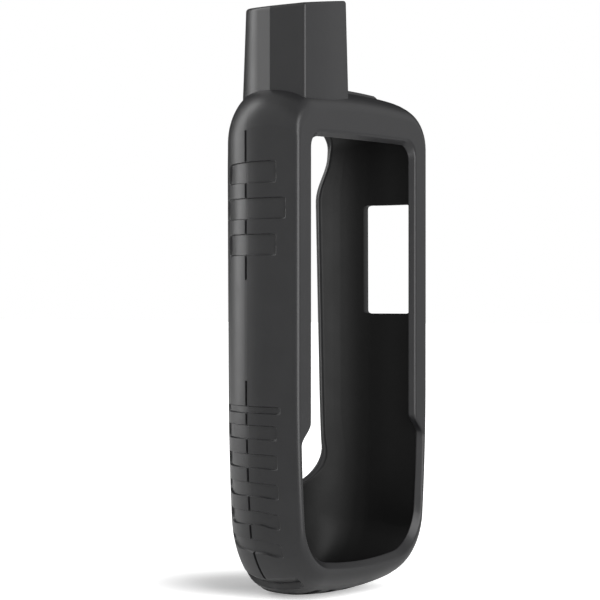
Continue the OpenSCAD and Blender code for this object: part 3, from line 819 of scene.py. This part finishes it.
# %% The boot's rows
BOOT_H, BOOT_SLOPE, BOOT_LEAST_Z, BOOT_SINK, SIDE_GAP = 21.7, 0.133, 142.4, 0.05, 0.05


def boot_top(x):
    """Height of the boot's top, which rises evenly to the right."""
    return HEIGHT + BOOT_H + BOOT_SLOPE * (x + BOOT_LEFT)


def crown_height(x, q, skin):
    """Height of the crown at (x, q): its long arc, or its shoulder arc beyond that."""
    half, _, high = sleeve_ends(np.clip(q, skin, DEPTH - skin), skin)
    return end_curve(high, np.minimum(np.abs(x), half - SIDE_GAP), 0.0)[1]


def boot_wall(skin, top_drop, shares):
    """Rows of one wall of the boot, straight from its section at the foot to its section at the top."""
    foot, top = boot_section(0.0, skin), boot_section(1.0, skin)
    top_z = boot_top(top[:, 0]) - top_drop
    start = np.maximum(crown_height(foot[:, 0], foot[:, 1], WALL + BOOT_SINK), BOOT_LEAST_Z)
    share_0 = (start - BOOT_BASE) / (top_z - BOOT_BASE)
    k = share_0 + (1 - share_0) * np.asarray(shares)[:, None]
    xy = foot + (top - foot) * k[..., None]
    return np.concatenate([xy, (BOOT_BASE + (top_z - BOOT_BASE) * k)[..., None]], -1)


def boot_cap(skin, drop, shares):
    """Rows that close the boot's top: its last section, drawn in towards its middle."""
    ring = boot_section(1.0, skin)
    xy = ring.mean(0) + (ring - ring.mean(0)) * np.asarray(shares)[:, None, None]
    return np.concatenate([xy, (boot_top(xy[..., 0]) - drop)[..., None]], -1)


def boot_edge(a):
    """One row of the round top edge, at the angle a from the wall."""
    return boot_cap(BOOT_EDGE_R * (1 - math.cos(a)), BOOT_EDGE_R * (1 - math.sin(a)), [1.0])


right_top = boot_top(-BOOT_RIGHT - BOOT_LEAN)
print("top of the boot:", round(right_top, 1), "mm high")

# %% Making the boot
cap_shares = np.array([0.98, 0.8, 0.4, 0.02])
wall_shares = np.concatenate([[0, 0.02], np.linspace(0.1, 0.92, 8), [0.985, 1.0]])
boot_rows = np.concatenate([
    boot_cap(WALL, WALL, cap_shares[::-1]),
    boot_wall(WALL, WALL, wall_shares[::-1]),
    boot_wall(0.0, BOOT_EDGE_R, wall_shares),
    *[boot_edge(a) for a in np.radians([18, 36, 54, 72, 90])],
    boot_cap(BOOT_EDGE_R, 0.0, cap_shares),
])
boot_rows[..., 1] -= DEPTH / 2
count, around = boot_rows.shape[:2]
boot_faces = list(ring_faces(count, around)[:-1].reshape(-1, 4))
boot_faces += [np.arange(around), np.arange(around) + (count - 1) * around]
# The boot's inside gets the coarser finish and the painted shade as well.
is_inner = np.repeat(np.arange(count) < len(cap_shares) + len(wall_shares), around)
boot = make_piece("antenna_boot_skin", boot_rows.reshape(-1, 3), boot_faces, is_inner)

# %% [markdown]
# ## The finish
#
# Silicone of this kind is dyed through in dark grey and takes its surface from the mould, which was
# etched to a fine, even matt. Two noises make that up: one a few tenths of a millimetre across, as
# height, for the etch, and one of several millimetres, as roughness, for the uneven wear of the mould.
# The inside was moulded against the core, so there the note of how far inside each point is makes it
# coarser and less glossy. The same note paints shade on the inside: it mixes the colour towards near
# black for the dark inside. One small function adds every node.

# %% Adding nodes
def srgb(code):
    """Linear colour of an sRGB hex code."""
    c = np.array([int(code[i:i + 2], 16) for i in (1, 3, 5)]) / 255
    return (*np.where(c <= 0.04045, c / 12.92, ((c + 0.055) / 1.055) ** 2.4), 1.0)


def wire(tree, node, inputs):
    """Sockets of a node set to values or linked to outputs."""
    for name, value in dict(inputs).items():
        if isinstance(value, bpy.types.NodeSocket):
            tree.links.new(value, node.inputs[name])
        else:
            node.inputs[name].default_value = value


def add(tree, kind, inputs=(), **settings):
    """One shader node with its settings and its sockets."""
    node = tree.nodes.new(kind)
    for name, value in settings.items():
        setattr(node, name, value)
    wire(tree, node, inputs)
    return node


def remap(tree, value, start, stop, source=(0.0, 1.0), kind="LINEAR"):
    """A value carried over from its source range to the range from start to stop."""
    ends = {"From Min": source[0], "From Max": source[1], "To Min": start, "To Max": stop}
    node = add(tree, "ShaderNodeMapRange", {"Value": value, **ends}, interpolation_type=kind)
    return node.outputs["Result"]


def combine(tree, operation, a, b):
    """Two values made into one by an operation."""
    return add(tree, "ShaderNodeMath", {0: a, 1: b}, operation=operation).outputs["Value"]


def noise(tree, place, per_mm, detail=2.0):
    """Noise with a number of waves to the millimetre."""
    inputs = {"Vector": place, "Scale": per_mm * MM_PER_M, "Detail": detail}
    return add(tree, "ShaderNodeTexNoise", inputs).outputs["Fac"]


def mix(tree, share, a, b):
    """A colour at a share of the way from a to b."""
    return add(tree, "ShaderNodeMixRGB", {"Fac": share, "Color1": a, "Color2": b}).outputs["Color"]


print("dark grey is", [round(float(v), 3) for v in srgb("#1c1c1d")[:3]], "in linear light")

# %% Moulded silicone
ETCH_PER_MM, WEAR_PER_MM, ETCH_HEIGHT = 2.6, 0.16, 0.00003
SILICONE_IOR = 1.41


def silicone(name, dark, light, painted_inside_shade):
    """Matt silicone from an etched mould: coarser, and with painted shade, where it lay against the core.
    """
    material = bpy.data.materials.new(name)
    material.use_nodes = True
    tree = material.node_tree
    place = add(tree, "ShaderNodeTexCoord").outputs["Object"]
    inside_finish_and_shade = add(tree, "ShaderNodeAttribute", attribute_name="inside_finish_and_shade").outputs["Fac"]
    etch = noise(tree, place, ETCH_PER_MM)
    wear = noise(tree, place, WEAR_PER_MM, 3.0)
    dye = mix(tree, wear, srgb(dark), srgb(light))
    bump = add(tree, "ShaderNodeBump", {"Height": etch, "Strength": 0.25, "Distance": ETCH_HEIGHT})
    wire(tree, tree.nodes["Principled BSDF"], {
        # Painted shade: the colour goes towards near black on the inside.
        "Base Color": mix(tree, inside_finish_and_shade, dye, srgb(painted_inside_shade)),
        "Roughness": combine(tree, "ADD", remap(tree, wear, 0.30, 0.40), remap(tree, inside_finish_and_shade, 0.0, 0.15)),
        "Specular IOR Level": remap(tree, inside_finish_and_shade, 0.45, 0.25),
        "Normal": bump.outputs["Normal"],
        "IOR": SILICONE_IOR,
    })
    return material


# Its last colour, near black, is painted shade for the inside, not a colour of the silicone.
grey = silicone("moulded_silicone_etched_matt", "#1c1c1d", "#212122", "#060606")
for piece in (sleeve, boot):
    piece.data.materials.append(grey)
    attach(piece, "root")
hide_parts("front_bezel", "left_side_wall", "right_side_wall", "base_cup", "crown_shoulder")
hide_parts("antenna_boot")
print("finish:", grey.name)

# %% [markdown]
# ## The floor
#
# The sleeve stands on pure white, with a soft grey shadow behind its foot. The floor is matt
# paper, a little under white. For the camera's rays alone it glows up to white, so that no more light
# falls on the sleeve. In a round patch behind the foot it glows less: that is a painted shadow, laid
# over the real shadow there.

# %% Floor
PAINTED_SHADOW_CENTRE, FLOOR_HALF, FIBRE_PER_MM = (0.003, 0.028, 0.0), 6, 0.9
CLOSE_GLOW, CLOSE_REACH = 0.7, (0.006, 0.054)
FAR_GLOW, FAR_REACH = 0.2, (0.1, 0.5)
WHITE = (1, 1, 1, 1)

corners = [(x * FLOOR_HALF, y * FLOOR_HALF, 0) for x, y in ((-1, -1), (1, -1), (1, 1), (-1, 1))]
floor_mesh = bpy.data.meshes.new("floor")
floor_mesh.from_pydata(corners, [], [(0, 1, 2, 3)])
floor = bpy.data.objects.new("floor", floor_mesh)
bpy.context.scene.collection.objects.link(floor)
paper = bpy.data.materials.new("white_paper_sweep")
paper.use_nodes = True
tree = paper.node_tree
where = add(tree, "ShaderNodeTexCoord").outputs["Object"]
# Painted shadow: the camera-only glow falls away towards a point behind the foot.
away = add(tree, "ShaderNodeVectorMath", {0: where, 1: PAINTED_SHADOW_CENTRE}, operation="DISTANCE").outputs["Value"]
glow_past_painted_shadow = remap(tree, away, 0.0, CLOSE_GLOW, CLOSE_REACH, "SMOOTHSTEP")
far = remap(tree, away, 0.0, FAR_GLOW, FAR_REACH)
by_camera = add(tree, "ShaderNodeLightPath").outputs["Is Camera Ray"]
wire(tree, tree.nodes["Principled BSDF"], {
    "Base Color": remap(tree, noise(tree, where, FIBRE_PER_MM), 0.88, 0.92),
    "Roughness": 0.9,
    "Specular IOR Level": 0.0,
    "Emission Color": WHITE,
    "Emission Strength": combine(tree, "MULTIPLY", by_camera, combine(tree, "ADD", glow_past_painted_shadow, far)),
})
floor.data.materials.append(paper)
print("floor:", paper.name)

# %% [markdown]
# ## The room
#
# The background is white for the camera. What lights the sleeve is a white room that is dimmer overhead
# and dark on the far side, behind the sleeve, so that the sides and the inside of the dark silicone
# shade off as they do in the photo. Nothing here is metal or glass, so no other ray has to see white.

# %% White background
BEHIND = (0.80, 0.60, 0.05)
ROOM_LEVEL, FAR_LEVEL, FAR_TURN = 0.96, 0.03, (0.45, 0.85)
CEILING_LEVEL, CEILING_TURN = 0.5, (0.6, 0.9)

world = bpy.data.worlds.new("white_room")
bpy.context.scene.world = world
world.use_nodes = True
tree = world.node_tree
way = add(tree, "ShaderNodeTexCoord").outputs["Generated"]
aim = add(tree, "ShaderNodeVectorMath", {0: way, 1: BEHIND}, operation="DOT_PRODUCT").outputs["Value"]
height = add(tree, "ShaderNodeSeparateXYZ", {"Vector": way}).outputs["Z"]
room = remap(tree, aim, ROOM_LEVEL, FAR_LEVEL, FAR_TURN, "SMOOTHSTEP")
ceiling = remap(tree, height, 1.0, CEILING_LEVEL, CEILING_TURN, "SMOOTHSTEP")
by_camera = add(tree, "ShaderNodeLightPath").outputs["Is Camera Ray"]
seen = combine(tree, "MAXIMUM", by_camera, combine(tree, "MULTIPLY", room, ceiling))
wire(tree, tree.nodes["Background"], {"Color": WHITE, "Strength": seen})
print("room:", world.name)

# %% [markdown]
# ## The lights
#
# Two soft strips draw the two light lines of the photo. A tall one behind gives the bright band down
# the rear left side, and a narrow one near the front edge gives the thin line along the lip.


# %% Lights
def soft_light(name, place, target, size, power):
    """A rectangular soft light at a place, turned to a target, in metres and watts."""
    data = bpy.data.lights.new(name, "AREA")
    data.shape, data.size, data.size_y, data.energy = "RECTANGLE", *size, power
    light = bpy.data.objects.new(name, data)
    light.location = place
    way = np.array(target, float) - np.array(place, float)
    heading = math.atan2(way[1], way[0])
    tilt = math.acos(-way[2] / np.linalg.norm(way))
    light.rotation_euler = (tilt, 0, heading - math.pi / 2)
    bpy.context.scene.collection.objects.link(light)
    print(name, power, "W")


soft_light("rear_strip", (-0.12, 0.9, 0.3), (-0.025, 0.01, 0.08), (0.30, 1.2), 4.0)
soft_light("front_strip", (-0.11, -0.225, 0.17), (0, 0, 0.17), (0.16, 0.34), 0.95)

# %% [markdown]
# ## The camera
#
# A long lens, level with the middle of the sleeve, looks at its left front edge. Its place was solved
# from the outline in the photo. A long lens from further off keeps upright edges nearly parallel.

# %% Camera
data = bpy.data.cameras.new("camera")
data.lens, data.sensor_width = 126.0, 36.0
data.clip_start, data.clip_end = 0.01, 50.0
camera = bpy.data.objects.new("camera", data)
camera.location = (-0.5023, -0.3677, 0.08642)
camera.rotation_euler = (math.pi / 2, 0, -math.radians(53.464))
bpy.context.scene.collection.objects.link(camera)
bpy.context.scene.camera = camera
bpy.context.scene.view_settings.view_transform = "Standard"
print("camera:", round(math.hypot(*camera.location[:2]), 2), "m away")
